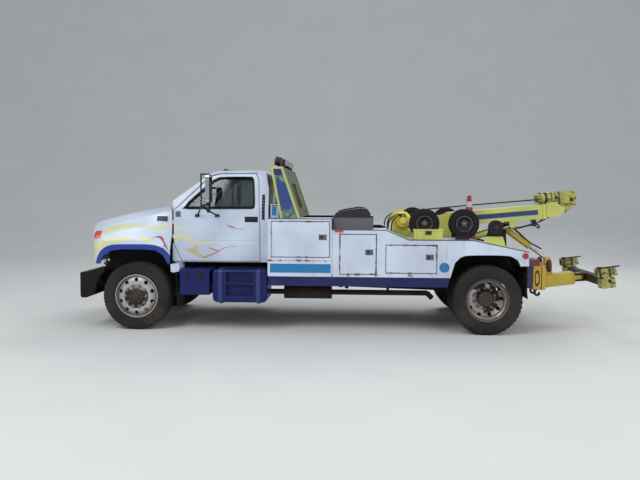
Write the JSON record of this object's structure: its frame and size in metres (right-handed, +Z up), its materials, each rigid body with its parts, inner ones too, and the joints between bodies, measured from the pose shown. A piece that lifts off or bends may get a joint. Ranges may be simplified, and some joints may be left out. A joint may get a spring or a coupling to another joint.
{
  "type": "tow truck",
  "caption": "Medium-duty tow truck with conventional cab, locker body, light tower, swivel-head recovery boom and folding underlift.",
  "frame": {"origin": "middle of the footprint on the ground, halfway between the front bumper and the rear wheel receivers", "axes": "+X to the rear of the truck, +Y to its right-hand side, +Z up"},
  "size_m": [7.4688, 2.654, 2.4176],
  "materials": {
    "frame_black": "satin",
    "white_paint": "gloss",
    "blue_paint": "gloss",
    "boom_yellow": "worn gloss",
    "lift_orange": "worn",
    "receiver_yellow": "worn",
    "rim_white": "satin",
    "tyre": "matt",
    "window": "clear",
    "black_plastic": "grained",
    "bumper_black": "satin",
    "engine_iron": "plain",
    "steel": "worn",
    "seat_cloth": "woven",
    "rubber": "matt",
    "lamp_amber": "clear",
    "cone_orange": "plain",
    "rod_chrome": "polished",
    "mesh_grey": "rough",
    "tank_blue": "satin"
  },
  "bodies": {
    "truck": {"frame_rails": "frame_black", "tail_frame": "blue_paint", "front_bumper": "bumper_black", "engine_block": "engine_iron", "axles": "frame_black", "leaf_springs": "frame_black", "prop_shaft": "steel", "exhaust": "steel", "side_tanks": "tank_blue", "cab_shell": "white_paint", "cab_glass": "window", "dashboard": "black_plastic", "seats": "seat_cloth", "mud_flaps": "rubber", "body_left": "white_paint", "body_right": "white_paint", "deck": "frame_black", "tower": "boom_yellow", "lamps": "lamp_amber", "winch_frame": "boom_yellow", "winches": "boom_yellow", "dolly_wheels": "tyre", "deck_gear": "mesh_grey", "traffic_cone": "cone_orange"},
    "knuckle_left": {"knuckle_left": "frame_black"},
    "knuckle_right": {"knuckle_right": "frame_black"},
    "tie_rod": {"tie_rod": "frame_black"},
    "front_wheel_left": {"front_rim_left": "rim_white", "front_tyre_left": "tyre"},
    "front_wheel_right": {"front_rim_right": "rim_white", "front_tyre_right": "tyre"},
    "rear_wheels_left": {"rear_rims_left": "rim_white", "rear_tyres_left": "tyre"},
    "rear_wheels_right": {"rear_rims_right": "rim_white", "rear_tyres_right": "tyre"},
    "hood": {"hood": "white_paint", "grille_and_headlamps": "black_plastic"},
    "door_left": {"door_left": "white_paint", "door_glass_left": "window"},
    "door_right": {"door_right": "white_paint", "door_glass_right": "window"},
    "boom_outer": {"boom_outer": "boom_yellow"},
    "boom_inner": {"boom_inner": "boom_yellow"},
    "sheave_head_left": {"sheave_head_left": "boom_yellow"},
    "sheave_head_right": {"sheave_head_right": "boom_yellow"},
    "lift_barrels": {"lift_barrels": "boom_yellow"},
    "lift_rods": {"lift_rods": "rod_chrome"},
    "underlift_arm": {"underlift_arm": "lift_orange"},
    "stinger": {"stinger": "lift_orange"},
    "crossbar": {"crossbar": "lift_orange", "receivers": "receiver_yellow"},
    "tilt_barrel": {"tilt_barrel": "lift_orange"},
    "tilt_rod": {"tilt_rod": "rod_chrome"},
    "locker_door_front_left": {"locker_door_front_left": "white_paint"},
    "locker_door_front_right": {"locker_door_front_right": "white_paint"},
    "locker_door_middle_left": {"locker_door_middle_left": "white_paint"},
    "locker_door_middle_right": {"locker_door_middle_right": "white_paint"},
    "locker_door_rear_left": {"locker_door_rear_left": "white_paint"},
    "locker_door_rear_right": {"locker_door_rear_right": "white_paint"}
  },
  "joints": [
    {"name": "steer_left", "type": "hinge", "parent": "truck", "child": "knuckle_left", "pos_m": [-2.94842, -0.88, 0.47], "axis": [0, 0, 1], "range_deg": [-35, 35]},
    {"name": "steer_right", "type": "hinge", "parent": "truck", "child": "knuckle_right", "pos_m": [-2.94842, 0.88, 0.47], "axis": [0, 0, 1], "range_deg": [-36, 36]},
    {"name": "tie_rod_swing", "type": "hinge", "parent": "knuckle_left", "child": "tie_rod", "pos_m": [-2.73842, -0.88, 0.33], "axis": [0, 0, 1], "range_deg": [-36, 36]},
    {"name": "front_spin_left", "type": "hinge", "parent": "knuckle_left", "child": "front_wheel_left", "pos_m": [-2.94842, -1.028, 0.47], "axis": [0, 1, 0], "continuous": true},
    {"name": "front_spin_right", "type": "hinge", "parent": "knuckle_right", "child": "front_wheel_right", "pos_m": [-2.94842, 1.028, 0.47], "axis": [0, 1, 0], "continuous": true},
    {"name": "rear_spin_left", "type": "hinge", "parent": "truck", "child": "rear_wheels_left", "pos_m": [1.85258, -1.092, 0.47], "axis": [0, 1, 0], "continuous": true},
    {"name": "rear_spin_right", "type": "hinge", "parent": "truck", "child": "rear_wheels_right", "pos_m": [1.85258, 1.092, 0.47], "axis": [0, 1, 0], "continuous": true},
    {"name": "hood_tilt", "type": "hinge", "parent": "truck", "child": "hood", "pos_m": [-3.64842, 0, 0.868], "axis": [0, -1, 0], "range_deg": [0, 50]},
    {"name": "cab_door_left", "type": "hinge", "parent": "truck", "child": "door_left", "pos_m": [-2.46942, -0.974, 1.5], "axis": [0, 0, -1], "range_deg": [0, 65]},
    {"name": "cab_door_right", "type": "hinge", "parent": "truck", "child": "door_right", "pos_m": [-2.46942, 0.974, 1.5], "axis": [0, 0, 1], "range_deg": [0, 65]},
    {"name": "locker_front_left", "type": "hinge", "parent": "truck", "child": "locker_door_front_left", "pos_m": [-1.06442, -1.22, 1.278], "axis": [0, 0, -1], "range_deg": [0, 100]},
    {"name": "locker_front_right", "type": "hinge", "parent": "truck", "child": "locker_door_front_right", "pos_m": [-1.06442, 1.22, 1.278], "axis": [0, 0, 1], "range_deg": [0, 100]},
    {"name": "locker_middle_left", "type": "hinge", "parent": "truck", "child": "locker_door_middle_left", "pos_m": [-0.13642, -1.22, 1.0815], "axis": [0, 0, -1], "range_deg": [0, 100]},
    {"name": "locker_middle_right", "type": "hinge", "parent": "truck", "child": "locker_door_middle_right", "pos_m": [-0.13642, 1.22, 1.0815], "axis": [0, 0, 1], "range_deg": [0, 100]},
    {"name": "locker_rear_left", "type": "hinge", "parent": "truck", "child": "locker_door_rear_left", "pos_m": [0.48158, -1.22, 1.0205], "axis": [0, 0, -1], "range_deg": [0, 100]},
    {"name": "locker_rear_right", "type": "hinge", "parent": "truck", "child": "locker_door_rear_right", "pos_m": [0.48158, 1.22, 1.0205], "axis": [0, 0, 1], "range_deg": [0, 100]},
    {"name": "boom_lift", "type": "hinge", "parent": "truck", "child": "boom_outer", "pos_m": [1.40158, 0, 1.524], "axis": [0, -1, 0], "range_deg": [0, 30]},
    {"name": "boom_extend", "type": "slide", "parent": "boom_outer", "child": "boom_inner", "axis": [0.996, 0, 0.0889], "range_m": [0, 0.9]},
    {"name": "head_swivel_left", "type": "hinge", "parent": "boom_inner", "child": "sheave_head_left", "pos_m": [2.86826, -0.135, 1.85168], "axis": [0.996, 0, 0.0889], "range_deg": [-60, 60]},
    {"name": "head_swivel_right", "type": "hinge", "parent": "boom_inner", "child": "sheave_head_right", "pos_m": [2.86826, 0.135, 1.85168], "axis": [0.996, 0, 0.0889], "range_deg": [-60, 60]},
    {"name": "lift_barrel_swing", "type": "hinge", "parent": "truck", "child": "lift_barrels", "pos_m": [1.60158, 0, 1.19], "axis": [0, -1, 0], "range_deg": [-0.17, 30.03]},
    {"name": "lift_stroke", "type": "slide", "parent": "lift_barrels", "child": "lift_rods", "axis": [0.9545, 0, 0.2983], "range_m": [-0.001, 0.203]},
    {"name": "underlift_tilt", "type": "hinge", "parent": "truck", "child": "underlift_arm", "pos_m": [2.85158, 0, 0.597], "axis": [0, -1, 0], "range_deg": [-8, 30]},
    {"name": "stinger_extend", "type": "slide", "parent": "underlift_arm", "child": "stinger", "axis": [0.9914, 0, 0.1305], "range_m": [0, 0.35]},
    {"name": "crossbar_yaw", "type": "hinge", "parent": "stinger", "child": "crossbar", "pos_m": [3.43158, 0, 0.67336], "axis": [-0.1305, 0, 0.9914], "range_deg": [-15, 15]},
    {"name": "tilt_barrel_swing", "type": "hinge", "parent": "truck", "child": "tilt_barrel", "pos_m": [2.29158, 0, 1.42], "axis": [0, -1, 0], "range_deg": [-6.61, 1.89]},
    {"name": "tilt_stroke", "type": "slide", "parent": "tilt_barrel", "child": "tilt_rod", "axis": [0.8113, 0, -0.5846], "range_m": [-0.1542, 0.0419]}
  ],
  "couplings": [
    {"joint": "steer_right", "follows": "steer_left", "ratio": 1},
    {"joint": "tie_rod_swing", "follows": "steer_left", "ratio": -1},
    {"joint": "lift_barrel_swing", "follows": "boom_lift", "ratio": 0.99534},
    {"joint": "lift_stroke", "follows": "boom_lift", "m_per_rad": 0.38586},
    {"joint": "tilt_barrel_swing", "follows": "underlift_tilt", "ratio": -0.21444},
    {"joint": "tilt_stroke", "follows": "underlift_tilt", "m_per_rad": -0.29258}
  ]
}
